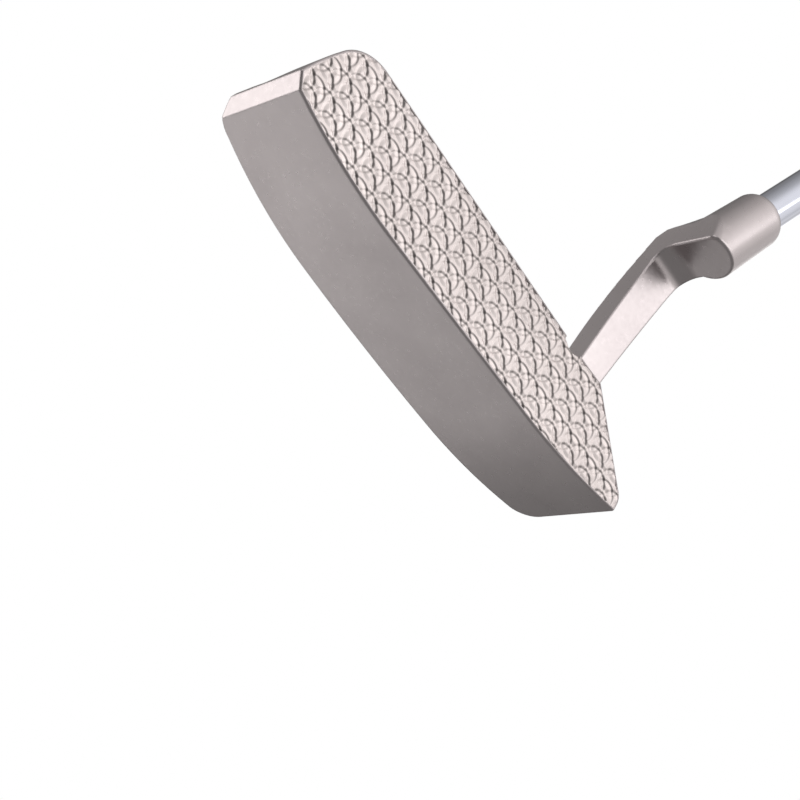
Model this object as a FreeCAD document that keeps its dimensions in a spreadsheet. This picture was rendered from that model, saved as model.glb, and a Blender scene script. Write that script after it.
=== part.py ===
import FreeCAD, Part
import math
import os
import Sketcher

# Blade putter: a milled head with a plumber's neck, a stepped steel shaft glued into it, and a
# pistol grip.  The row's frame stands on the ground at address: +Z up, the face looks along -Y,
# the toe is at -X and the heel at +X.  The origin is on the flat of the sole, under the sight
# line.  The head is drawn from its leading edge, which is at y = 0 in every sketch here, and each
# sub-part is then moved forward by face_shift, so that the origin falls inside the sole's flat.

Vector = FreeCAD.Vector
Rotation = FreeCAD.Rotation
Placement = FreeCAD.Placement

DIMENSIONS = [
    ("face_shift", 15.0, "leading edge back to the origin"),
    ("loft", 3.5, "degrees that the face leans back"),
    ("lie", 70.0, "degrees between the shaft and the ground"),
    ("toe_end", 64.4, "sight line to the end of the toe"),
    ("heel_end", 58.4, "sight line to the end of the heel"),
    ("depth_toe", 28.0, "leading edge to the back edge at the toe"),
    ("depth_heel", 29.2, "leading edge to the back edge at the heel"),
    ("back_bow", 520.0, "plan radius of the back edge"),
    ("toe_corner", 7.5, "plan radius of the toe's back corner"),
    ("heel_corner", 6.0, "plan radius of the heel's back corner"),
    ("depth", 31.4, "leading edge to the furthest point of the back edge"),
    ("top_toe", 27.5, "height of the topline at its toe end"),
    ("top_heel", 24.0, "height of the topline at the neck"),
    ("top_toe_reach", 48.5, "sight line to the toe end of the topline"),
    ("toe_shoulder_x", 59.3, "sight line to the foot of the toe's round shoulder"),
    ("toe_shoulder_z", 20.5, "height of the foot of the toe's round shoulder"),
    ("toe_shoulder_radius", 11.0, "radius of the toe's shoulder"),
    ("toe_side_radius", 70.0, "radius of the toe below the shoulder"),
    ("toe_corner_z", 5.2, "height of the toe's low corner"),
    ("heel_slope_x", 56.4, "sight line to the foot of the heel's slope"),
    ("heel_slope_z", 9.0, "height of the foot of the heel's slope"),
    ("heel_tip_z", 5.6, "height of the heel's tip"),
    ("blade_wall", 8.4, "leading edge back to the blade's rear wall"),
    ("heel_wall", 11.7, "leading edge back to the heel's rear wall"),
    ("wall_foot", 18.4, "height at which the rear wall starts to sweep back"),
    ("sweep_floor", 10.3, "lowest height of the sweep behind the wall"),
    ("ridge_y", 19.6, "leading edge back to the ridge of the bumpers"),
    ("ridge_z", 11.0, "height of that ridge"),
    ("bumper_edge", 10.3, "height of the bumpers at the back edge"),
    ("flat_toe", 24.0, "sight line to the toe end of the sole's flat"),
    ("flat_heel", 24.0, "sight line to the heel end of the sole's flat"),
    ("camber_toe", 150.0, "radius of the sole's rise to the toe"),
    ("camber_heel", 168.0, "radius of the sole's rise to the heel"),
    ("toe_bevel_low", 3.0, "width of the toe's low bevel along the sole"),
    ("toe_bevel_high", 3.2, "height of that bevel up the toe's end"),
    ("sole_round", 0.6, "round between the sole and the back edge"),
    ("bumper_round", 1.2, "round along the top of the back edge"),
    ("topline_round", 0.6, "round along the back of the topline"),
    ("face_round", 0.6, "round of the face's own edges"),
    ("recess_half", 29.2, "half the width of the U recess"),
    ("recess_back", 22.0, "leading edge back to the end of the recess floor"),
    ("recess_corner", 6.5, "plan radius of the recess's back corners"),
    ("flange", 6.5, "height of the recess floor"),
    ("flange_fall", 10.0, "degrees that the flange falls behind the recess"),
    ("ramp_low", 27.2, "half the width of the lowered flange"),
    ("ramp_rise", 4.8, "height and width of the ramps up to the bumpers"),
    ("pocket_half", 27.3, "half the width of the pocket in the rear wall"),
    ("pocket_corner", 2.6, "radius of the pocket's corners"),
    ("pocket_wall", 6.7, "leading edge back to the pocket's wall"),
    ("pocket_shoulder", 17.9, "height of the pocket's shoulders"),
    ("pocket_shoulder_x", 22.6, "sight line to the inner end of a shoulder"),
    ("pocket_top", 21.2, "height of the pocket's raised middle"),
    ("pocket_top_x", 17.6, "half the width of the pocket's raised middle"),
    ("pocket_fillet", 3.4, "fillet at the foot of the pocket"),
    ("pocket_round", 0.6, "round along the pocket's rim"),
    ("ramp_fillet", 1.5, "fillet at the foot of the ramps"),
    ("sight_width", 1.3, "width of the sight line groove"),
    ("sight_depth", 0.7, "depth of the sight line groove"),
    ("sight_start", 12.3, "leading edge back to the start of the sight line"),
    ("notch_x", 26.4, "sight line to the middle of the notch"),
    ("notch_radius", 3.6, "radius of the notch beside the neck"),
    ("notch_height", 26.0, "height of the notch's axis at the leading edge"),
    ("notch_tilt", 11.0, "degrees that the notch falls to the back"),
    ("bar_toe", 31.5, "sight line to the toe side of the neck"),
    ("bar_heel", 39.5, "sight line to the heel side of the neck"),
    ("bar_splay", 1.5, "how much the neck widens to the heel up to its bend"),
    ("bar_bend", 54.0, "height at which the neck's heel side starts to lean"),
    ("bar_bend_radius", 77.0, "radius of that bend"),
    ("bar_root_radius", 4.0, "fillet between the neck and the heel"),
    ("bar_back_round", 1.3, "round along the back of the neck's toe side"),
    ("bar_front_round", 0.3, "round along the front of the neck's toe side"),
    ("bar_back_low", 11.6, "leading edge back to the foot of the neck"),
    ("bar_back_high", 6.2, "leading edge back to the ledge under the hosel"),
    ("bar_front_low", 4.2, "leading edge back to the neck's front at its foot"),
    ("bar_front_high", 1.6, "leading edge back to the neck's front at the undercut"),
    ("ledge_z", 70.5, "height of the ledge behind the hosel"),
    ("ledge_cut", 2.2, "slope from the neck's back onto that ledge"),
    ("under_z", 63.2, "height of the hosel's underside"),
    ("under_radius", 5.0, "fillet between the neck's front and the underside"),
    ("under_round", 0.6, "round of the underside's edges"),
    ("hosel_blend", 2.5, "blend between the hosel, its flat side and its ledge"),
    ("mouth_x", 44.2, "sight line to the middle of the hosel's mouth"),
    ("mouth_y", -8.6, "leading edge to the middle of the hosel's mouth"),
    ("mouth_z", 86.3, "height of the hosel's mouth"),
    ("hosel_radius", 6.8, "outside radius of the hosel under its lip"),
    ("hosel_taper", 0.6, "how much wider the hosel is at its foot"),
    ("hosel_length", 31.0, "length of the hosel along the shaft"),
    ("hosel_lip", 3.0, "length of the hosel's rounded lip"),
    ("bore_radius", 4.82, "radius of the hosel's bore"),
    ("bore_depth", 20.0, "depth of the hosel's bore"),
    ("lip_land", 5.0, "radius of the mouth's inner edge"),
    ("shaft_tip", 4.7, "outside radius of the shaft's tip"),
    ("shaft_butt", 7.35, "outside radius of the shaft's butt"),
    ("shaft_wall", 0.55, "wall of the shaft's tube"),
    ("shaft_length", 788.0, "length of the shaft"),
    ("tip_section", 262.0, "length of the shaft's parallel tip"),
    ("butt_section", 285.0, "length of the shaft's parallel butt"),
    ("plug_length", 8.0, "length of the plug in the shaft's tip"),
    ("glue_gap", 1.0, "height of the glue under the shaft"),
    ("grip_length", 262.0, "length of the grip between its collar and its cap"),
    ("tape_wall", 0.25, "thickness of the tape under the grip"),
    ("skin_wall", 1.2, "thickness of the grip's skin"),
    ("cap_height", 5.0, "height of the cap on the butt"),
    ("vent_radius", 1.5, "radius of the vent hole in the cap"),
    ("collar_height", 6.0, "height of the collar at the grip's mouth"),
]
SHAFT_STEPS = 10

doc = FreeCAD.newDocument("blade_putter")
sheet = doc.addObject("Spreadsheet::Sheet", "Dims")
for row, (alias, value, meaning) in enumerate(DIMENSIONS, start=1):
    sheet.set("A%d" % row, meaning)
    sheet.set("B%d" % row, str(value))
    sheet.setAlias("B%d" % row, alias)
doc.recompute()

FRONT = Rotation(Vector(1, 0, 0), 90)              # sketch x is +X, sketch y is +Z
SIDE = Rotation(Vector(1, 1, 1), 120)              # sketch x is +Y, sketch y is +Z
PLAN = Rotation()                                  # sketch x is +X, sketch y is +Y


def full(expression):
    """Writes out each {word} of an expression as that cell of the sheet."""
    return expression.replace("{", "Dims.").replace("}", "")


def value_of(expression):
    return float(sheet.evalExpression(full(expression)))


def bind(item, path, expression):
    item.setExpression(path, full(expression))


def arc_between(start, end, radius):
    """The short arc from start to end, which turns left when the radius is positive."""
    chord = end - start
    left = Vector(-chord.y, chord.x, 0).normalize()
    offset = math.sqrt(max(radius * radius - chord.Length ** 2 / 4, 0.0))
    centre = (start + end) * 0.5 + left * math.copysign(offset, radius)
    first, last = (start, end) if radius > 0 else (end, start)
    low = math.atan2(first.y - centre.y, first.x - centre.x)
    high = math.atan2(last.y - centre.y, last.x - centre.x)
    if high < low:
        high += 2 * math.pi
    return Part.ArcOfCircle(Part.Circle(centre, Vector(0, 0, 1), abs(radius)), low, high)


def draw(sketch, corners):
    """Closes the corners into one outline that follows the sheet.

    A corner is a pair of expressions.  A third one is the radius of the arc that leads to the
    corner, positive when the arc turns left.
    """
    points = [Vector(value_of(corner[0]), value_of(corner[1]), 0) for corner in corners]
    edges = []
    ends = []
    for index, corner in enumerate(corners):
        radius = value_of(corner[2]) if len(corner) == 3 else 0.0
        if radius:
            edge = arc_between(points[index - 1], points[index], radius)
        else:
            edge = Part.LineSegment(points[index - 1], points[index])
        edges.append(sketch.addGeometry(edge))
        ends.append((2, 1) if radius < 0 else (1, 2))
    for index, corner in enumerate(corners):
        here = edges[index]
        after = (index + 1) % len(corners)
        joint = Sketcher.Constraint("Coincident", here, ends[index][1], edges[after], ends[after][0])
        sketch.addConstraint(joint)
        for axis, kind in enumerate(("DistanceX", "DistanceY")):
            place = Sketcher.Constraint(kind, -1, 1, here, ends[index][1], points[index][axis])
            name = "%s%d" % ("uv"[axis], here)
            sketch.renameConstraint(sketch.addConstraint(place), name)
            bind(sketch, "Constraints." + name, corner[axis])
        if len(corner) == 3:
            size = Sketcher.Constraint("Radius", here, abs(value_of(corner[2])))
            name = "r%d" % here
            sketch.renameConstraint(sketch.addConstraint(size), name)
            bind(sketch, "Constraints." + name, "abs(%s)" % corner[2])
    return sketch


def outline(name, rotation, corners):
    sketch = doc.addObject("Sketcher::SketchObject", name)
    sketch.Placement = Placement(Vector(), rotation)
    return draw(sketch, corners)


def swept(name, sketch, direction, forward, backward="0"):
    """A solid swept from an outline, forward and backward along one direction."""
    solid = doc.addObject("Part::Extrusion", name)
    solid.Base = sketch
    solid.DirMode = "Custom"
    solid.Dir = direction
    solid.Solid = True
    bind(solid, "LengthFwd", forward)
    bind(solid, "LengthRev", backward)
    return solid


def fused(name, shapes):
    result = doc.addObject("Part::MultiFuse", name)
    result.Shapes = shapes
    return result


def common(name, shapes):
    result = doc.addObject("Part::MultiCommon", name)
    result.Shapes = shapes
    return result


def cut(name, base, tool):
    result = doc.addObject("Part::Cut", name)
    result.Base = base
    result.Tool = tool
    return result


def rounded(name, base, radius, chosen):
    """Rounds the edges whose middle point passes a test."""
    doc.recompute()
    edges = []
    for index, edge in enumerate(base.Shape.Edges, start=1):
        if chosen(edge.valueAt((edge.FirstParameter + edge.LastParameter) / 2)):
            size = value_of(radius)
            edges.append((index, size, size))
    if not edges:
        raise RuntimeError("%s has no edge to round" % name)
    fillet = doc.addObject("Part::Fillet", name)
    fillet.Base = base
    fillet.Edges = edges
    return fillet


def bevelled(name, base, low, high, chosen):
    """Cuts a flat bevel along the edge whose middle point passes a test."""
    doc.recompute()
    edges = []
    for index, edge in enumerate(base.Shape.Edges, start=1):
        if chosen(edge.valueAt((edge.FirstParameter + edge.LastParameter) / 2)):
            edges.append((index, value_of(low), value_of(high)))
    if not edges:
        raise RuntimeError("%s has no edge to bevel" % name)
    bevel = doc.addObject("Part::Chamfer", name)
    bevel.Base = base
    bevel.Edges = edges
    return bevel


def falling(degrees):
    """The direction to the back that falls by so many degrees."""
    angle = math.radians(degrees)
    return Vector(0, math.cos(angle), -math.sin(angle))


# ---------------------------------------------------------------------------------------------
# The blade: two side sections swept along X, trimmed by its outlines from the front and from
# above and by the camber of its sole.

OVER = "30"                                        # any height above the topline


def blade_section(name, wall):
    """Face, sole, back edge, bumper, sweep and rear wall, seen along X."""
    sweep = "({wall_foot} - {sweep_floor})"
    return outline(name, SIDE, [
        (OVER + " * tan({loft})", OVER),
        ("0", "0"),
        ("{depth} + 1", "0"),
        ("{depth} + 1", "{bumper_edge}"),
        ("{ridge_y}", "{ridge_z}"),
        (wall + " + " + sweep, "{sweep_floor}"),
        (wall, "{wall_foot}", "-" + sweep),
        (wall, OVER),
    ])


def sole_height(x):
    """Height of the sole above the ground at a distance from the sight line."""
    side = "heel" if x > 0 else "toe"
    run = abs(x) - value_of("{flat_%s}" % side)
    radius = value_of("{camber_%s}" % side)
    return radius - math.sqrt(radius ** 2 - run ** 2) if run > 0 else 0.0


def blade_blank():
    toe_blank = swept("toe_blank", blade_section("toe_section", "{blade_wall}"), Vector(1, 0, 0),
                      "{recess_half}", "{toe_end} + 1")
    heel_section = blade_section("heel_section", "{heel_wall}")
    bind(heel_section, "Placement.Base.x", "{recess_half}")
    heel_blank = swept("heel_blank", heel_section, Vector(1, 0, 0),
                       "{heel_end} - {recess_half} + 1")
    front_outline = outline("front_outline", FRONT, [
        ("-{toe_end}", "-3"),
        ("{heel_end}", "-3"),
        ("{heel_end}", "{heel_tip_z}"),
        ("{heel_slope_x}", "{heel_slope_z}", "4"),
        ("{bar_heel} - 1.5", "{top_heel}"),
        ("{bar_toe}", "{top_heel}"),
        ("-{top_toe_reach}", "{top_toe}"),
        ("-{toe_shoulder_x}", "{toe_shoulder_z}", "{toe_shoulder_radius}"),
        ("-{toe_end}", "{toe_corner_z}", "{toe_side_radius}"),
    ])
    front_trim = swept("front_trim", front_outline, falling(value_of("{loft}")), "{depth} + 5", "5")
    plan_outline = outline("plan_outline", PLAN, [
        ("-{toe_end}", "-1"),
        ("{heel_end}", "-1"),
        ("{heel_end}", "{depth_heel} - {heel_corner}"),
        ("{heel_end} - {heel_corner}", "{depth_heel}", "{heel_corner}"),
        ("{toe_corner} - {toe_end}", "{depth_toe}", "{back_bow}"),
        ("-{toe_end}", "{depth_toe} - {toe_corner}", "{toe_corner}"),
    ])
    plan_trim = swept("plan_trim", plan_outline, Vector(0, 0, 1), "40")
    rise = "{camber_%s} - sqrt({camber_%s} ^ 2 - ({%s_end} + 3 - {flat_%s}) ^ 2)"
    camber_outline = outline("camber_outline", FRONT, [
        ("-{toe_end} - 3", rise % ("toe", "toe", "toe", "toe")),
        ("-{flat_toe}", "0", "{camber_toe}"),
        ("{flat_heel}", "0"),
        ("{heel_end} + 3", rise % ("heel", "heel", "heel", "heel"), "{camber_heel}"),
        ("{heel_end} + 3", "40"),
        ("-{toe_end} - 3", "40"),
    ])
    camber_trim = swept("camber_trim", camber_outline, Vector(0, 1, 0), "{depth} + 3", "3")
    blank = fused("blade_blank", [toe_blank, heel_blank])
    blade = common("blade_trimmed", [blank, front_trim, plan_trim, camber_trim])
    toe, back = value_of("{toe_end}"), value_of("{depth}")
    slope = math.tan(math.radians(value_of("{loft}")))
    low = value_of("{toe_corner_z}")
    blade = bevelled("toe_bevelled", blade, "{toe_bevel_low}", "{toe_bevel_high}", lambda middle:
                     middle.x < 1 - toe and abs(middle.z - low) < 1.5 and 5 < middle.y < 20)
    blade = rounded("sole_rounded", blade, "{sole_round}", lambda middle:
                    middle.y > 24 and abs(middle.z - sole_height(middle.x)) < 0.1)
    blade = rounded("back_rounded", blade, "{bumper_round}", lambda middle:
                    middle.y > back - 1 and middle.z > 8)
    blade = rounded("topline_rounded", blade, "{topline_round}", lambda middle:
                    7 < middle.y < 9.5 and middle.z > 24 and middle.x < 20)
    return rounded("face_rounded", blade, "{face_round}", lambda middle:
                   abs(middle.y - middle.z * slope) < 0.02)


# ---------------------------------------------------------------------------------------------
# The cavity: a U recess in the sweep, a pocket in the rear wall, the flange lowered between two
# ramps, the sight line, and the notch beside the neck.

def recess_cutter():
    recess_outline = outline("recess_outline", PLAN, [
        ("-{recess_half}", "{blade_wall}"),
        ("{recess_half}", "{blade_wall}"),
        ("{recess_half}", "{recess_back} - {recess_corner}"),
        ("{recess_half} - {recess_corner}", "{recess_back}", "{recess_corner}"),
        ("{recess_corner} - {recess_half}", "{recess_back}"),
        ("-{recess_half}", "{recess_back} - {recess_corner}", "{recess_corner}"),
    ])
    bind(recess_outline, "Placement.Base.z", "{flange}")
    return swept("recess_cutter", recess_outline, Vector(0, 0, 1), "30")


def ramp_cutter():
    top = "{flange} + {ramp_rise} + 3"
    half = "({ramp_low} + {ramp_rise} + 3)"
    ramp_outline = outline("ramp_outline", FRONT, [
        ("-{ramp_low}", "{flange}"),
        ("{ramp_low}", "{flange}"),
        (half, top),
        ("-" + half, top),
    ])
    bind(ramp_outline, "Placement.Base.y", "{recess_back}")
    return swept("ramp_cutter", ramp_outline, falling(value_of("{flange_fall}")), "12",
                 "{recess_back} - {ridge_y}")


def pocket_cutter():
    """The pocket's stepped outline, with a fillet along the foot of its wall."""
    step_x = "({pocket_shoulder_x} - {pocket_top_x}) / 2"
    step_z = "({pocket_top} - {pocket_shoulder}) / 2"
    bend = "((%s) ^ 2 + (%s) ^ 2) / (2 * (%s))" % (step_x, step_z, step_z)
    middle_x = "({pocket_shoulder_x} + {pocket_top_x}) / 2"
    middle_z = "({pocket_top} + {pocket_shoulder}) / 2"
    inner = "{pocket_half} - {pocket_corner}"
    pocket_outline = outline("pocket_outline", FRONT, [
        (inner, "{flange}"),
        ("{pocket_half}", "{flange} + {pocket_corner}", "{pocket_corner}"),
        ("{pocket_half}", "{pocket_shoulder} - {pocket_corner}"),
        (inner, "{pocket_shoulder}", "{pocket_corner}"),
        ("{pocket_shoulder_x}", "{pocket_shoulder}"),
        (middle_x, middle_z, "-" + bend),
        ("{pocket_top_x}", "{pocket_top}", bend),
        ("-{pocket_top_x}", "{pocket_top}"),
        ("-(%s)" % middle_x, middle_z, bend),
        ("-{pocket_shoulder_x}", "{pocket_shoulder}", "-" + bend),
        ("-(%s)" % inner, "{pocket_shoulder}"),
        ("-{pocket_half}", "{pocket_shoulder} - {pocket_corner}", "{pocket_corner}"),
        ("-{pocket_half}", "{flange} + {pocket_corner}"),
        ("-(%s)" % inner, "{flange}", "{pocket_corner}"),
    ])
    pocket_prism = swept("pocket_prism", pocket_outline, Vector(0, 1, 0), "{recess_back} - 3")
    foot_outline = outline("pocket_foot_outline", SIDE, [
        ("{pocket_wall}", OVER),
        ("{pocket_wall}", "{flange} + {pocket_fillet}"),
        ("{pocket_wall} + {pocket_fillet}", "{flange}", "{pocket_fillet}"),
        ("{recess_back}", "{flange}"),
        ("{recess_back}", OVER),
    ])
    foot_prism = swept("pocket_foot_prism", foot_outline, Vector(1, 0, 0),
                       "{pocket_half} + 1", "{pocket_half} + 1")
    return common("pocket_cutter", [pocket_prism, foot_prism])


def sight_cutters():
    """The sight line's groove, level across the recess and then down the flange."""
    cutters = []
    spans = [
        ("level", "{sight_start}", Vector(0, 1, 0), "{recess_back} - {sight_start}"),
        ("falling", "{recess_back}", falling(value_of("{flange_fall}")), "12"),
    ]
    for name, start, direction, length in spans:
        groove = outline("sight_%s_outline" % name, FRONT, [
            ("-{sight_width} / 2", "{flange} - {sight_depth}"),
            ("{sight_width} / 2", "{flange} - {sight_depth}"),
            ("{sight_width} / 2", "{flange} + 3"),
            ("-{sight_width} / 2", "{flange} + 3"),
        ])
        bind(groove, "Placement.Base.y", start)
        cutters.append(swept("sight_%s_cutter" % name, groove, direction, length))
    return cutters


def notch_cutter():
    notch = doc.addObject("Part::Cylinder", "notch_cutter")
    bind(notch, "Radius", "{notch_radius}")
    notch.Height = 25
    direction = falling(value_of("{notch_tilt}"))
    notch.Placement = Placement(direction * -5, Rotation(Vector(0, 0, 1), direction))
    bind(notch, "Placement.Base.x", "{notch_x}")
    bind(notch, "Placement.Base.z", "{notch_height} + 5 * sin({notch_tilt})")
    return notch


# ---------------------------------------------------------------------------------------------
# The neck: a bar that rises from the heel and steps forward to the hosel, which is a round
# socket on the shaft's axis.

def shaft_placement(along="0"):
    """A Placement whose Z runs up the shaft from the middle of the hosel's mouth."""
    lean = 90 - value_of("{lie}")
    turn = Rotation(Vector(0, 1, 0), lean)
    base = Vector(value_of("{mouth_x}"), value_of("{mouth_y}"), value_of("{mouth_z}"))
    return Placement(base + turn.multVec(Vector(0, 0, value_of(along))), turn)


def neck_bar():
    """The bar, from its outline seen along Y and the one seen along X."""
    follow = "{mouth_x} - ({mouth_z} - %s) / tan({lie})"
    toe_side = follow + " - {hosel_radius} / sin({lie}) + 0.3"
    meet_z = "{mouth_z} - ({mouth_x} - {bar_toe} + 0.3 - {hosel_radius} / sin({lie})) * tan({lie})"
    top = "84"
    lean = "({mouth_z} - {bar_bend}) * 0.14"
    front = outline("neck_front_outline", FRONT, [
        ("{bar_toe} - 2.2", "{top_heel} - 4"),
        ("{bar_heel} + {bar_root_radius} + 1", "{top_heel} - 6"),
        ("{bar_heel} + {bar_root_radius} - 1", "{top_heel} - 3.3"),
        ("{bar_heel}", "{top_heel} + 2.5", "-{bar_root_radius} * 2.2"),
        ("{bar_heel} + {bar_splay}", "{bar_bend}"),
        ("{bar_heel} + {bar_splay} + " + lean, "77", "-{bar_bend_radius}"),
        ("{bar_heel} + {bar_splay} + " + lean + " + 1", top),
        (toe_side % top + " + 0.9", top),
        ("{bar_toe}", meet_z),
        ("{bar_toe}", "{top_heel} + 2.4"),
        ("{bar_toe} - 2.2", "{top_heel}", "-2.6"),
    ])
    width = swept("neck_width", front, Vector(0, 1, 0), "20", "20")
    side = outline("neck_side_outline", SIDE, [
        ("{bar_back_low}", "15"),
        ("{bar_back_low}", "{top_heel} + 4"),
        ("{bar_back_high}", "{ledge_z} - {ledge_cut}", "150"),
        ("{bar_back_high} - {ledge_cut}", "{ledge_z}"),
        ("-5.5", "{ledge_z} + 12", "-13"),
        ("{mouth_y}", "{ledge_z} + 12"),
        ("{mouth_y}", "{under_z}"),
        ("{bar_front_high} - {under_radius}", "{under_z}"),
        ("{bar_front_high}", "{under_z} - {under_radius}", "-{under_radius}"),
        ("{bar_front_low}", "{top_heel} + 2", "-400"),
        ("{bar_front_low}", "15"),
    ])
    depth = swept("neck_depth", side, Vector(1, 0, 0), "60")
    return width, depth


def hosel_round():
    """The socket's outside, turned about the shaft's axis, with a rounded lip."""
    lip = "({lip_land} - {hosel_radius})"
    bend = "((%s) ^ 2 + {hosel_lip} ^ 2) / (-2 * %s)" % (lip, lip)
    profile = outline("hosel_profile", FRONT, [
        ("0", "-{hosel_length}"),
        ("{hosel_radius} + {hosel_taper}", "-{hosel_length}"),
        ("{hosel_radius}", "-{hosel_lip}"),
        ("{lip_land}", "0", bend),
        ("0", "0"),
    ])
    turned = doc.addObject("Part::Revolution", "hosel_round")
    turned.Source = profile
    turned.Axis = Vector(0, 0, 1)
    turned.Angle = 360
    turned.Solid = True
    turned.Placement = shaft_placement()
    return turned


def softened(neck):
    """Blends the hosel into the neck and rounds the neck's long edges and its underside."""
    side, ledge, under = value_of("{bar_toe}"), value_of("{ledge_z}"), value_of("{under_z}")
    foot = value_of("{top_heel} + 4")

    def on_side(middle):
        return abs(middle.x - side) < 0.05

    neck = rounded("hosel_blended", neck, "{hosel_blend}", lambda middle:
                   middle.y < 0.5 and (
                       on_side(middle) and middle.z > ledge + 0.5 or
                       side + 0.4 < middle.x < side + 10 and ledge + 1 < middle.z < ledge + 6))
    neck = rounded("neck_back_rounded", neck, "{bar_back_round}", lambda middle:
                   on_side(middle) and foot < middle.z < ledge - 1 and middle.y > 5)
    neck = rounded("underside_rounded", neck, "{under_round}", lambda middle:
                   abs(middle.z - under) < 0.05 and middle.y < -5.2 and middle.x > side + 0.3)
    return rounded("neck_front_rounded", neck, "{bar_front_round}", lambda middle:
                   on_side(middle) and foot < middle.z < under and middle.y < 5)


def half_space_over(name, low, high):
    """A block between two heights, wide enough for the whole neck."""
    block = doc.addObject("Part::Box", name)
    block.Length = 80
    block.Width = 60
    bind(block, "Height", "(%s) - (%s)" % (high, low))
    block.Placement.Base = Vector(0, -40, 0)
    bind(block, "Placement.Base.z", low)
    return block


def head():
    width, depth = neck_bar()
    bar = common("neck_bar", [width, depth])
    block = half_space_over("hosel_room", "{under_z}", "{mouth_z} + 10")
    bind(block, "Placement.Base.x", "{bar_toe}")
    hosel = common("hosel_trimmed", [hosel_round(), block])
    neck = softened(fused("neck", [bar, hosel]))
    bore = doc.addObject("Part::Cylinder", "bore_cutter")
    bind(bore, "Radius", "{bore_radius}")
    bind(bore, "Height", "{bore_depth} + 5")
    bore.Placement = shaft_placement("-{bore_depth}")
    cavity = fused("cavity_cutters", [recess_cutter(), ramp_cutter(), pocket_cutter()])
    carved = cut("blade_carved", blade_blank(), cavity)
    wall, rim, ramp = value_of("{blade_wall}"), value_of("{pocket_half}"), value_of("{ramp_low}")
    carved = rounded("pocket_rounded", carved, "{pocket_round}", lambda middle:
                     abs(middle.y - wall) < 0.02 and abs(middle.x) < rim + 0.2
                     and 7.5 < middle.z < 22)
    carved = rounded("ramps_rounded", carved, "{ramp_fillet}", lambda middle:
                     abs(abs(middle.x) - ramp) < 0.05 and middle.y > 23 and middle.z < 6.4)
    whole = fused("head_solid", [carved, neck])
    drills = fused("head_drills", sight_cutters() + [notch_cutter(), bore])
    return cut("head", whole, drills)


# ---------------------------------------------------------------------------------------------
# Turned sub-parts on the shaft's axis: the shaft, the plug in its tip, the glue, and the tape.

def turned_body(label, corners, along):
    """A body turned from its half section; u is the radius and v runs up the shaft."""
    body = doc.addObject("PartDesign::Body", label)
    plane = [item for item in body.Origin.OriginFeatures if item.Role == "XZ_Plane"][0]
    sketch = body.newObject("Sketcher::SketchObject", label + "_section")
    sketch.AttachmentSupport = (plane, [""])
    sketch.MapMode = "FlatFace"
    draw(sketch, corners)
    turned = body.newObject("PartDesign::Revolution", label + "_turned")
    turned.Profile = sketch
    turned.ReferenceAxis = (sketch, ["V_Axis"])
    turned.Angle = 360
    body.Placement = shaft_placement(along)
    return body


def shaft():
    """A steel tube: parallel tip, short steps up to a parallel butt, and the same wall all along."""
    step = "({shaft_length} - {tip_section} - {butt_section}) / %d" % SHAFT_STEPS
    swell = "({shaft_butt} - {shaft_tip}) / %d" % SHAFT_STEPS
    outside = [("{shaft_tip}", "0")]
    for count in range(SHAFT_STEPS):
        height = "{tip_section} + %d * %s" % (count, step)
        outside.append(("{shaft_tip} + %d * %s" % (count, swell), height))
        outside.append(("{shaft_tip} + %d * %s" % (count + 1, swell), height + " + 1.2"))
    outside.append(("{shaft_butt}", "{shaft_length}"))
    inside = [(radius + " - {shaft_wall}", height) for radius, height in reversed(outside)]
    return turned_body("shaft", outside + inside, "{glue_gap} - {bore_depth}")


def shaft_tip_plug():
    bore = "{shaft_tip} - {shaft_wall}"
    return turned_body("shaft_tip_plug", [
        ("0", "0"),
        (bore, "0"),
        (bore, "{plug_length} - 1"),
        (bore + " - 1", "{plug_length}"),
        ("0", "{plug_length}"),
    ], "{glue_gap} - {bore_depth}")


def hosel_epoxy():
    return turned_body("hosel_epoxy", [
        ("0", "0"),
        ("{bore_radius}", "0"),
        ("{bore_radius}", "{bore_depth} - 0.4"),
        ("{shaft_tip}", "{bore_depth} - 0.4"),
        ("{shaft_tip}", "{glue_gap}"),
        ("0", "{glue_gap}"),
    ], "-{bore_depth}")


def grip_tape():
    return turned_body("grip_tape", [
        ("{shaft_butt}", "0"),
        ("{shaft_butt} + {tape_wall}", "0"),
        ("{shaft_butt} + {tape_wall}", "{grip_length}"),
        ("{shaft_butt}", "{grip_length}"),
    ], GRIP_START)


# ---------------------------------------------------------------------------------------------
# The grip: a soft core and a thin skin with a flat front for the thumbs and a swelling at the
# butt, a collar at its mouth and a vented cap.  Its flat faces the toe, its swelling the heel.

GRIP_START = "{glue_gap} - {bore_depth} + {shaft_length} - {grip_length}"

# share of the grip's length, half width, flat's distance from the axis, reach of the swelling
GRIP_STATIONS = [
    (0.0, 10.2, 8.9, 0.4),
    (0.3, 11.4, 9.4, 0.6),
    (0.6, 12.6, 9.9, 1.4),
    (0.82, 13.2, 10.2, 4.6),
    (1.0, 13.4, 10.3, 6.2),
]


def grip_section(name, along, half, flat, swell):
    """Flat front, round shoulders, straight sides and a half-round back, about the axis."""
    shoulder = half * 0.8
    edge = half - shoulder + math.sqrt(shoulder ** 2 - (flat - half * 0.1) ** 2)
    turn = half * 0.1
    sketch = doc.addObject("Sketcher::SketchObject", name)
    points = [
        ("%.4f" % -flat, "%.4f" % -edge),
        ("%.4f" % -turn, "%.4f" % -half, "%.4f" % shoulder),
        ("%.4f" % swell, "%.4f" % -half),
        ("%.4f" % swell, "%.4f" % half, "%.4f" % (half + 0.0001)),
        ("%.4f" % -turn, "%.4f" % half),
        ("%.4f" % -flat, "%.4f" % edge, "%.4f" % shoulder),
    ]
    draw(sketch, points)
    sketch.Placement = shaft_placement("(%s) + (%s)" % (GRIP_START, along))
    return sketch


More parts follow.
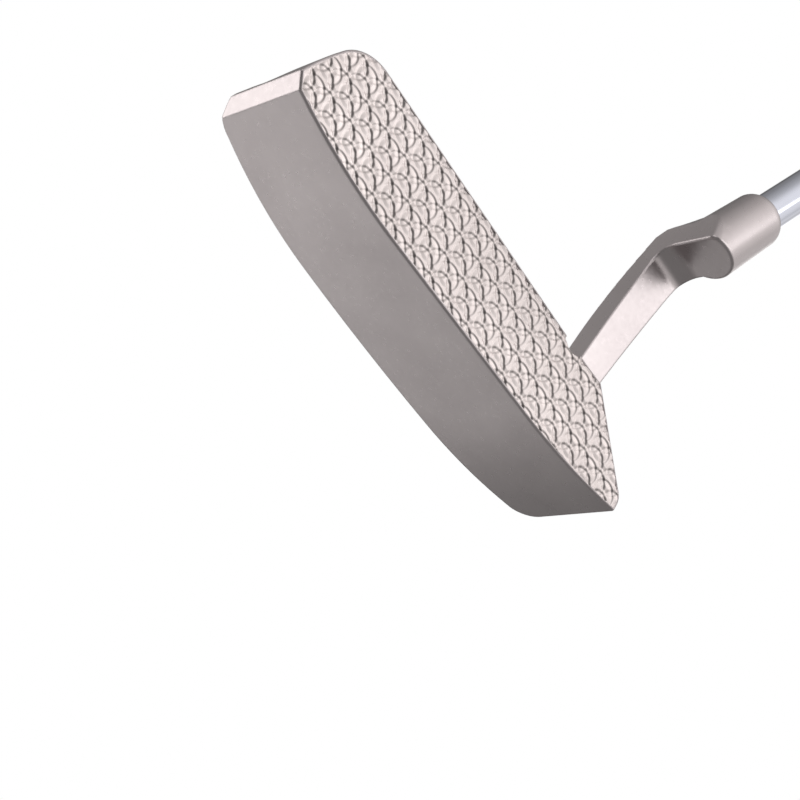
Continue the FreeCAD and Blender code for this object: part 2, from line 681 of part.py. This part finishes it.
def grip_loft(name, inset):
    """The grip's outer form, drawn in by an inset on every side."""
    sections = []
    for index, (share, half, flat, swell) in enumerate(GRIP_STATIONS):
        along = "{grip_length} * %.2f" % share
        section = grip_section("%s_section_%d" % (name, index), along, half - inset,
                               flat - inset, swell)
        sections.append(section)
    loft = doc.addObject("Part::Loft", name)
    loft.Sections = sections
    loft.Solid = True
    loft.Ruled = False
    return loft


def grip_bore(name):
    bore = doc.addObject("Part::Cylinder", name)
    bind(bore, "Radius", "{shaft_butt} + {tape_wall}")
    bind(bore, "Height", "{grip_length} + 2")
    bore.Placement = shaft_placement(GRIP_START + " - 1")
    return bore


def grip():
    inner_form = grip_loft("core_form", value_of("{skin_wall}"))
    outer_form = grip_loft("skin_form", 0.0)
    core = cut("grip_core", inner_form, grip_bore("core_bore"))
    skin = cut("grip_skin", outer_form, inner_form)
    return [core, skin]


def slab(name, along, height, half, flat, swell):
    """A short piece of the grip's section."""
    section = grip_section(name + "_section", along, half, flat, swell)
    lean = shaft_placement().Rotation.multVec(Vector(0, 0, 1))
    return swept(name, section, lean, height)


def grip_butt_cap():
    share, half, flat, swell = GRIP_STATIONS[-1]
    disc = slab("cap_disc", "{grip_length}", "{cap_height}", half, flat, swell)
    vent = doc.addObject("Part::Cylinder", "cap_vent")
    bind(vent, "Radius", "{vent_radius}")
    bind(vent, "Height", "{cap_height} + 2")
    vent.Placement = shaft_placement(GRIP_START + " + {grip_length} - 1")
    return cut("grip_butt_cap", disc, vent)


def grip_tip_collar():
    share, half, flat, swell = GRIP_STATIONS[0]
    ring = slab("collar_ring", "-{collar_height}", "{collar_height}", half - 0.3, flat - 0.3, swell)
    bore = doc.addObject("Part::Cylinder", "collar_bore")
    bind(bore, "Radius", "{shaft_butt}")
    bind(bore, "Height", "{collar_height} + 2")
    bore.Placement = shaft_placement(GRIP_START + " - {collar_height} - 1")
    return cut("grip_tip_collar", ring, bore)


# ---------------------------------------------------------------------------------------------
# Assembly, checks and export.

parts = [head(), hosel_epoxy(), shaft(), shaft_tip_plug(), grip_tape()]
parts += grip()
parts += [grip_butt_cap(), grip_tip_collar()]
doc.recompute()
for part in parts:
    part.Label = part.Name
    part.Placement = Placement(Vector(0, -value_of("{face_shift}"), 0), Rotation()) * part.Placement
doc.recompute()

for item in doc.Objects:
    if "Invalid" in item.State or "Error" in item.State:
        raise RuntimeError("%s failed: %s" % (item.Name, item.State))
os.makedirs("parts", exist_ok=True)
for part in parts:
    if part.Shape.isNull() or not part.Shape.isValid():
        raise RuntimeError("%s has no valid shape" % part.Label)
    box = part.Shape.BoundBox
    print("%-16s solids %d faces %3d volume %9.1f  x %.1f..%.1f y %.1f..%.1f z %.1f..%.1f" % (
        part.Label, len(part.Shape.Solids), len(part.Shape.Faces), part.Shape.Volume,
        box.XMin, box.XMax, box.YMin, box.YMax, box.ZMin, box.ZMax))
for part in parts:
    part.Shape.exportStep("parts/%s.step" % part.Label)
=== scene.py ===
import math

import bmesh
import bpy
import numpy as np
from mathutils import Matrix, Vector


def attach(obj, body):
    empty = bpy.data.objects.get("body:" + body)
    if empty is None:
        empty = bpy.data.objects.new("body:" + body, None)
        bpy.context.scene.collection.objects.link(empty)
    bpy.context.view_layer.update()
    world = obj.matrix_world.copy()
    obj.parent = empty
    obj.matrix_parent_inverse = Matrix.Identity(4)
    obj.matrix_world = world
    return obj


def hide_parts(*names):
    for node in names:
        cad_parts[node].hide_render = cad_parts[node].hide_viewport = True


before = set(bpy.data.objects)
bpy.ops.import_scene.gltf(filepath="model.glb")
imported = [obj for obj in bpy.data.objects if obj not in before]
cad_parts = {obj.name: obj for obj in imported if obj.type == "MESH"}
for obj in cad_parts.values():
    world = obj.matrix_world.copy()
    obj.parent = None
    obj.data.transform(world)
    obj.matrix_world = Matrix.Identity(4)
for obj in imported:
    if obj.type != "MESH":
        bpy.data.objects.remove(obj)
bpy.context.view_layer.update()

# Blade putter at address, in metres: +Z up, the face looks along -Y, the toe is at -X.
MM = 0.001
LOFT = math.radians(3.5)
LIE = math.radians(70.0)
LEADING_EDGE_Y = -15.0 * MM
MOUTH = Vector((44.2, -23.6, 86.3)) * MM
GRIP_START = (1.0 - 20.0 + 788.0 - 262.0) * MM
GRIP_WIDENING = 1.4 / 262.0                        # how the flat draws away from the axis
RIBS_START = GRIP_START * GRIP_WIDENING - 8.5 * MM

FLOOR_HALF_WIDTH = 3.0
FLOOR_HEIGHT = -0.62
# Centre of the pool of light painted into the floor's colour.
PAINTED_POOL_CENTRE = (0.0, 1.10, 0.0)                            # on the floor, behind the head
# Painted light: the side, heel and up, toward which the face's dish walls get a painted highlight.
PAINTED_LIGHT_SIDE = (0.60, 0.80 * math.sin(LOFT), 0.80 * math.cos(LOFT))     # in the plane of the face

# What the metal reflects of the room: a panel's direction, the cosines between which it fades in,
# and its brightness.
PANELS = [
    ((0.10, -0.50, 0.86), (0.30, 1.0), 0.42),      # above, in front
    ((0.41, -0.74, 0.53), (0.45, 0.90), 0.50),     # the face and the neck's front
    ((-0.75, -0.25, 0.60), (0.80, 0.95), 0.30),    # beyond the toe
    ((0.90, 0.30, 0.35), (0.85, 0.97), 0.50),      # beyond the heel
    ((-0.63, 0.77, -0.08), (0.88, 0.96), 1.70),    # the toe's bevel
    ((0.55, 0.60, 0.58), (0.90, 0.98), 0.55),      # the hosel
    ((-0.46, 0.72, 0.53), (0.80, 0.96), 0.24),     # the neck's toe side
]
PANELLESS_ROOM = 0.11
SOFT_LIGHT = 0.62

CAMERA_PLACE = (-0.16806, -0.31541, -0.23885)
CAMERA_RIGHT = (0.567339, -0.662878, 0.488589)
CAMERA_FORWARD = (0.408809, 0.741762, 0.531661)


# ------------------------------------------------------------------------------------ shaders

class Material:
    """A node material around one Principled shader."""

    def __init__(self, name, **sockets):
        self.data = bpy.data.materials.new(name)
        self.data.use_nodes = True
        self.tree = self.data.node_tree
        self.shader = self.tree.nodes["Principled BSDF"]
        self.coords = self.add("ShaderNodeTexCoord").outputs["Object"]
        self.normals = self.add("ShaderNodeTexCoord").outputs["Normal"]
        for socket, value in sockets.items():
            self.set(self.shader, socket, value)

    def add(self, kind, inputs=None, **settings):
        node = self.tree.nodes.new(kind)
        for key, value in settings.items():
            setattr(node, key, value)
        for socket, value in (inputs or {}).items():
            self.set(node, socket, value)
        return node

    def set(self, node, socket, value):
        target = node.inputs[socket.replace("_", " ") if isinstance(socket, str) else socket]
        if isinstance(value, bpy.types.NodeSocket):
            self.tree.links.new(value, target)
        else:
            target.default_value = value

    def scaled(self, scale):
        node = self.add("ShaderNodeMapping", {"Vector": self.coords, "Scale": scale})
        return node.outputs["Vector"]

    def noise(self, scale, detail=3.0, stretch=(1, 1, 1)):
        inputs = {"Vector": self.scaled(stretch), "Scale": scale, "Detail": detail}
        return self.add("ShaderNodeTexNoise", inputs).outputs["Fac"]

    def ramp(self, factor, *stops):
        """Stops are (place, value) or (place, colour)."""
        node = self.add("ShaderNodeValToRGB", {"Fac": factor})
        while len(node.color_ramp.elements) < len(stops):
            node.color_ramp.elements.new(0.5)
        for element, (place, value) in zip(node.color_ramp.elements, stops):
            element.position = place
            colour = (value,) * 3 if isinstance(value, (int, float)) else tuple(value)
            element.color = colour[:3] + (1.0,)
        return node.outputs["Color"]

    def ranged(self, value, low, high):
        node = self.add("ShaderNodeMapRange", {"Value": value, "From Min": low, "From Max": high})
        return node.outputs["Result"]

    def math(self, operation, *values):
        node = self.add("ShaderNodeMath", dict(enumerate(values)), operation=operation)
        return node.outputs["Value"]

    def product(self, one, other):
        node = self.add("ShaderNodeMix", data_type="RGBA", blend_type="MULTIPLY")
        node.inputs[0].default_value = 1.0
        self.tree.links.new(one, node.inputs[6])
        self.tree.links.new(other, node.inputs[7])
        return node.outputs[2]

    def rounded(self, radius):
        return self.add("ShaderNodeBevel", {"Radius": radius}, samples=6).outputs["Normal"]

    def bump(self, height, distance, strength=1.0, normal=None):
        inputs = {"Height": height, "Distance": distance, "Strength": strength}
        if normal is not None:
            inputs["Normal"] = normal
        return self.add("ShaderNodeBump", inputs).outputs["Normal"]


def head_metal():
    """Champagne satin steel: soft clouding, very fine bead-blast grain, rounded edges."""
    metal = Material("head_metal", Metallic=1.0)
    cloud = metal.noise(60.0, 4.0)
    metal.set(metal.shader, "Base Color", metal.ramp(
        cloud, (0.3, (0.540, 0.490, 0.495)), (0.7, (0.605, 0.552, 0.556))))
    grain = metal.noise(5200.0, 2.0)
    metal.set(metal.shader, "Roughness", metal.ramp(
        metal.noise(900.0, 3.0), (0.3, 0.27), (0.7, 0.33)))
    metal.set(metal.shader, "Normal", metal.bump(grain, 0.000006, 0.3, metal.rounded(0.0006)))
    return metal.data


def face_metal():
    """The milled face: the same steel, paler, with fine upright tool lines.

    The walls of the milled dishes that look to the toe and down get painted shade, and those that
    look to the heel and up get a painted highlight.
    """
    metal = Material("face_metal", Metallic=1.0, Roughness=0.36)
    cloud = metal.noise(45.0, 4.0)
    pale = metal.ramp(cloud, (0.3, (0.56, 0.505, 0.495)), (0.7, (0.64, 0.58, 0.57)))
    # Painted light: walls facing the heel and up are painted lighter, up to a highlight, and walls
    # facing the toe and down are painted darker as shade.
    side = metal.add("ShaderNodeVectorMath", {0: metal.normals, 1: PAINTED_LIGHT_SIDE},
                     operation="DOT_PRODUCT")
    tone = metal.ramp(metal.ranged(side.outputs["Value"], -0.40, 0.40),
                      (0.0, 0.28), (0.24, 0.46), (0.43, 0.92), (0.54, 1.0), (0.68, 1.55))
    metal.set(metal.shader, "Base Color", metal.product(pale, tone))
    wave = metal.add("ShaderNodeTexWave", {
        "Vector": metal.coords, "Scale": 1100.0, "Distortion": 0.6, "Detail": 2.0},
        wave_type="BANDS", bands_direction="X")
    metal.set(metal.shader, "Normal", metal.bump(wave.outputs["Fac"], 0.000012, 0.6))
    return metal.data


def shaft_chrome():
    metal = Material("shaft_chrome", Metallic=1.0)
    metal.set(metal.shader, "Base Color", metal.ramp(
        metal.noise(30.0), (0.3, (0.66, 0.68, 0.77)), (0.7, (0.74, 0.76, 0.84))))
    metal.set(metal.shader, "Roughness", metal.ramp(
        metal.noise(700.0), (0.3, 0.06), (0.7, 0.10)))
    return metal.data


def grip_rubber():
    """Black rubber: round dimples all around, and cross ribs along the grip's flat."""
    rubber = Material("grip_rubber", Roughness=0.62)
    lean = Matrix.Rotation(LIE - math.pi / 2, 3, "Y")
    turned = rubber.add("ShaderNodeMapping", {
        "Vector": rubber.coords, "Rotation": (0.0, LIE - math.pi / 2, 0.0),
        "Location": -(lean @ MOUTH)}).outputs["Vector"]
    parts = rubber.add("ShaderNodeSeparateXYZ", {"Vector": turned}).outputs
    reach = rubber.math("MULTIPLY_ADD", parts["Z"], GRIP_WIDENING, parts["X"])
    flat = rubber.ranged(reach, RIBS_START - 0.4 * MM, RIBS_START)
    dimples = rubber.add("ShaderNodeTexVoronoi", {
        "Vector": turned, "Scale": 460.0, "Randomness": 0.25})
    dimple = rubber.ranged(dimples.outputs["Distance"], 0.15, 0.42)
    ribs = rubber.add("ShaderNodeTexWave", {"Vector": turned, "Scale": 150.0},
                      wave_type="BANDS", bands_direction="Z").outputs["Fac"]
    height = rubber.add("ShaderNodeMix", {0: flat, 2: ribs, 3: dimple}).outputs[0]
    grain = rubber.bump(rubber.noise(5000.0, 2.0), 0.00001, 0.5)
    rubber.set(rubber.shader, "Normal", rubber.bump(height, 0.00022, 0.9, grain))
    # Painted shade: the colour is darker down in the dimples and between the ribs.
    rubber.set(rubber.shader, "Base Color", rubber.ramp(
        height, (0.0, (0.010, 0.010, 0.011)), (1.0, (0.034, 0.034, 0.036))))
    return rubber.data


def plain(name, low, high, roughness, scale, depth):
    """A moulded or paper finish: two close tones, and a grain."""
    stuff = Material(name, Roughness=roughness)
    stuff.set(stuff.shader, "Base Color", stuff.ramp(stuff.noise(scale / 6), (0.3, low), (0.7, high)))
    stuff.set(stuff.shader, "Normal", stuff.bump(stuff.noise(scale, 3.0), depth, 0.6))
    return stuff.data


# -------------------------------------------------------------------------------------- pieces

def finish_node(node, material, sharp=30.0):
    """Gives a CAD node its material and smooth shading between its sharp edges."""
    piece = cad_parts[node]
    piece.data.materials.clear()
    piece.data.materials.append(material)
    piece.data.shade_smooth()
    piece.data.set_sharp_from_angle(angle=math.radians(sharp))
    return piece


# The cutter leaves round, shallow dishes on the face, in a lattice of three circles to a cell.
CELL_ACROSS = Vector((7.036, -0.207)) * MM
CELL_UP = Vector((0.393, 6.821)) * MM
CELL_CORNER = Vector((-49.714, 17.786)) * MM
DISHES = ((0.731, -0.510), (0.731, -0.010), (0.227, -0.510))
DISH_RADIUS = 2.86 * MM
DISH_SLOPE = 1.0 * MM
DISH_WALL = 0.50 * MM
DISH_DEPTH = 0.16 * MM
MILLING_STEP = 0.16 * MM
MILLING_START = -66 * MM                           # beyond the toe
STEPS_ACROSS = 800
STEPS_UP = 182
IN_FACE_COSINE = 0.9999
IN_FACE_DISTANCE = 2e-5


def milled_depth(across, up):
    """How deep the cutter went at each point of the face."""
    depth = np.zeros(len(across))
    to_cell = np.linalg.inv(np.array([CELL_ACROSS, CELL_UP]).T)
    for a, b in DISHES:
        centre = CELL_CORNER + CELL_ACROSS * a + CELL_UP * b
        cells = to_cell @ np.array([across - centre.x, up - centre.y])
        for i in (-1, 0, 1):
            for j in (-1, 0, 1):
                near = np.round(cells) + np.array([[i], [j]])
                x = across - centre.x - near[0] * CELL_ACROSS.x - near[1] * CELL_UP.x
                y = up - centre.y - near[0] * CELL_ACROSS.y - near[1] * CELL_UP.y
                inside = DISH_RADIUS - np.hypot(x, y)
                floor = 1.0 - np.clip(inside / DISH_SLOPE, 0.0, 1.0)
                wall = np.clip(1.0 + inside / DISH_WALL, 0.0, 1.0)
                depth += DISH_DEPTH * np.where(inside > 0.0, floor, wall)
    return depth


def sliced(bm, faces, direction, origin, first, last):
    """Cuts faces along one direction at every milling step from first to last."""
    if last - first < 2 or not faces:
        return faces
    middle = (first + last) // 2
    point = origin + direction * middle * MILLING_STEP
    geom = set(faces)
    for face in faces:
        geom.update(face.edges)
        geom.update(face.verts)
    cut = bmesh.ops.bisect_plane(bm, geom=list(geom), plane_co=point, plane_no=direction, dist=1e-7)
    sides = ([], [])
    for item in cut["geom"]:
        if isinstance(item, bmesh.types.BMFace):
            sides[(item.calc_center_median() - point).dot(direction) > 0].append(item)
    below = sliced(bm, sides[0], direction, origin, first, middle)
    return below + sliced(bm, sides[1], direction, origin, middle, last)


def milled_head(material, face_material):
    """The CAD head with its face cut into a fine grid and milled."""
    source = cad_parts["head"]
    bm = bmesh.new()
    bm.from_mesh(source.data)
    exact = bm.loops.layers.float_vector.new("exact_normal")
    bm.faces.ensure_lookup_table()
    for polygon, face in zip(source.data.polygons, bm.faces):
        for index, loop in zip(polygon.loop_indices, face.loops):
            loop[exact] = source.data.corner_normals[index].vector
    bmesh.ops.remove_doubles(bm, verts=bm.verts, dist=1e-6)
    normal = Vector((0.0, -math.cos(LOFT), math.sin(LOFT)))
    low = Vector((0.0, LEADING_EDGE_Y, 0.0))
    flat = [f for f in bm.faces
            if f.normal.dot(normal) > IN_FACE_COSINE
            and abs((f.calc_center_median() - low).dot(normal)) < IN_FACE_DISTANCE]
    face = bmesh.ops.dissolve_faces(bm, faces=flat, use_verts=False)["region"]
    upward = Vector((0.0, math.sin(LOFT), math.cos(LOFT)))
    face = sliced(bm, face, Vector((1, 0, 0)), low + Vector((MILLING_START, 0, 0)), 0, STEPS_ACROSS)
    face = sliced(bm, face, upward, low, 0, STEPS_UP)
    points = list({v for f in face for v in f.verts})
    place = np.array([p.co for p in points])
    depth = milled_depth(place[:, 0], (place - np.array(low)) @ np.array(upward))
    for point, down in zip(points, depth):
        point.co -= normal * float(down)
    for f in face:
        f.material_index = 1
        for loop in f.loops:
            loop[exact] = (0.0, 0.0, 0.0)
    mesh = bpy.data.meshes.new("putter_head")
    bm.to_mesh(mesh)
    bm.free()
    mesh.materials.append(material)
    mesh.materials.append(face_material)
    mesh.shade_smooth()
    normals = [item.vector[:] for item in mesh.attributes["exact_normal"].data]
    mesh.normals_split_custom_set(normals)
    mesh.attributes.remove(mesh.attributes["exact_normal"])
    piece = bpy.data.objects.new("putter_head", mesh)
    bpy.context.scene.collection.objects.link(piece)
    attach(piece, "root")
    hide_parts("head")
    return piece


# --------------------------------------------------------------------------------------- stage

def area_light(name, place, target, size, power, colour=(1.0, 1.0, 1.0)):
    light = bpy.data.lights.new(name, "AREA")
    light.shape = "RECTANGLE"
    light.size, light.size_y = size
    light.energy = power
    light.color = colour
    lamp = bpy.data.objects.new(name, light)
    lamp.location = place
    lamp.rotation_mode = "QUATERNION"
    lamp.rotation_quaternion = (Vector(target) - Vector(place)).to_track_quat("-Z", "Y")
    lamp.visible_camera = False
    bpy.context.scene.collection.objects.link(lamp)
    return lamp


def studio_world():
    """White behind the object; in its reflections, a grey room with soft bright panels."""
    world = bpy.data.worlds.new("studio")
    bpy.context.scene.world = world
    world.use_nodes = True
    tree = world.node_tree
    tree.nodes.clear()

    def add(kind, **settings):
        node = tree.nodes.new(kind)
        for key, value in settings.items():
            setattr(node, key, value)
        return node

    direction = add("ShaderNodeTexCoord").outputs["Generated"]
    total = None
    for aim, (start, end), power in PANELS:
        dot = add("ShaderNodeVectorMath", operation="DOT_PRODUCT")
        tree.links.new(direction, dot.inputs[0])
        dot.inputs[1].default_value = Vector(aim).normalized()
        reach = add("ShaderNodeMapRange", interpolation_type="SMOOTHSTEP")
        tree.links.new(dot.outputs["Value"], reach.inputs["Value"])
        reach.inputs["From Min"].default_value = start
        reach.inputs["From Max"].default_value = end
        reach.inputs["To Max"].default_value = power
        if total is None:
            total = reach.outputs["Result"]
        else:
            both = add("ShaderNodeMath", operation="ADD")
            tree.links.new(total, both.inputs[0])
            tree.links.new(reach.outputs["Result"], both.inputs[1])
            total = both.outputs["Value"]
    base = add("ShaderNodeMath", operation="ADD")
    tree.links.new(total, base.inputs[0])
    base.inputs[1].default_value = PANELLESS_ROOM
    seen = add("ShaderNodeLightPath")

    def background(strength, colour):
        node = add("ShaderNodeBackground")
        node.inputs["Color"].default_value = colour
        if isinstance(strength, float):
            node.inputs["Strength"].default_value = strength
        else:
            tree.links.new(strength, node.inputs["Strength"])
        return node.outputs["Background"]

    def chosen(factor, otherwise, when):
        mix = add("ShaderNodeMixShader")
        tree.links.new(factor, mix.inputs["Fac"])
        tree.links.new(otherwise, mix.inputs[1])
        tree.links.new(when, mix.inputs[2])
        return mix.outputs["Shader"]

    room = background(base.outputs["Value"], (1.0, 0.985, 0.97, 1.0))
    soft = background(SOFT_LIGHT, (1.0, 1.0, 1.0, 1.0))
    white = background(1.0, (1.0, 1.0, 1.0, 1.0))
    lit = chosen(seen.outputs["Is Diffuse Ray"], room, soft)
    output = add("ShaderNodeOutputWorld")
    tree.links.new(chosen(seen.outputs["Is Camera Ray"], lit, white), output.inputs["Surface"])


def pale_floor():
    """A wide sheet of pale paper, low enough for a camera to look up at the sole."""
    bm = bmesh.new()
    bmesh.ops.create_grid(bm, x_segments=12, y_segments=12, size=FLOOR_HALF_WIDTH)
    mesh = bpy.data.meshes.new("floor")
    bm.to_mesh(mesh)
    bm.free()
    floor = bpy.data.objects.new("floor", mesh)
    floor.location.z = FLOOR_HEIGHT
    bpy.context.scene.collection.objects.link(floor)
    paper = Material("floor_paper", Roughness=0.9)
    sheet = paper.ramp(paper.noise(3.0), (0.3, (0.84, 0.84, 0.83)), (0.7, (0.88, 0.88, 0.87)))
    # What the metal sees of the floor is a painted pool of light behind the head that fades outward.
    pool = paper.add("ShaderNodeVectorMath", {0: paper.coords, 1: PAINTED_POOL_CENTRE}, operation="DISTANCE")
    shade = paper.ramp(paper.ranged(pool.outputs["Value"], 0.25, 1.0),
                       (0.0, 0.97), (0.30, 0.88), (0.62, 0.55), (1.0, 0.34))
    shaded = paper.product(sheet, shade)
    seen = paper.add("ShaderNodeLightPath").outputs["Is Camera Ray"]
    mix = paper.add("ShaderNodeMix", {0: seen}, data_type="RGBA")
    paper.tree.links.new(shaded, mix.inputs[6])
    paper.tree.links.new(sheet, mix.inputs[7])
    paper.set(paper.shader, "Base Color", mix.outputs[2])
    mesh.materials.append(paper.data)


def camera():
    """Below the toe side of the face, looking up at the sole."""
    data = bpy.data.cameras.new("camera")
    data.lens = 90.0
    data.sensor_width = 36.0
    data.clip_start = 0.02
    data.clip_end = 50.0
    eye = bpy.data.objects.new("camera", data)
    right = Vector(CAMERA_RIGHT)
    forward = Vector(CAMERA_FORWARD)
    up = right.cross(forward)
    turn = Matrix((right, up, -forward)).transposed()
    eye.matrix_world = Matrix.Translation(Vector(CAMERA_PLACE)) @ turn.to_4x4()
    bpy.context.scene.collection.objects.link(eye)
    bpy.context.scene.camera = eye


bpy.context.scene.view_settings.view_transform = "Standard"
camera()
studio_world()
pale_floor()
area_light("front_softbox", (0.35, -1.1, 0.75), (0.0, -0.01, 0.03), (1.0, 0.7), 2.2)
area_light("toe_softbox", (-1.0, -0.2, 0.55), (0.0, 0.0, 0.03), (0.6, 0.6), 1.0)
area_light("back_softbox", (0.75, 1.1, 0.85), (0.0, 0.0, 0.03), (0.9, 0.6), 1.4)
area_light("floor_glow", (0.0, 1.35, 0.05), (0.0, 1.15, -0.62), (0.9, 0.6), 3.0)

milled_head(head_metal(), face_metal())
finish_node("shaft", shaft_chrome(), 50.0)
finish_node("hosel_epoxy", plain(
    "cured_glue", (0.02, 0.02, 0.02), (0.03, 0.03, 0.03), 0.4, 900.0, 0.00001))
finish_node("shaft_tip_plug", plain(
    "cork_plug", (0.30, 0.20, 0.11), (0.42, 0.29, 0.17), 0.8, 1500.0, 0.00003))
finish_node("grip_tape", plain(
    "paper_tape", (0.62, 0.58, 0.50), (0.70, 0.66, 0.58), 0.8, 2500.0, 0.00002))
finish_node("grip_core", plain(
    "foam_core", (0.02, 0.02, 0.02), (0.03, 0.03, 0.03), 0.9, 1200.0, 0.00004))
finish_node("grip_skin", grip_rubber(), 40.0)
ends = plain("moulded_rubber", (0.022, 0.022, 0.023), (0.03, 0.03, 0.032), 0.45, 2600.0, 0.00002)
finish_node("grip_butt_cap", ends)
finish_node("grip_tip_collar", ends)
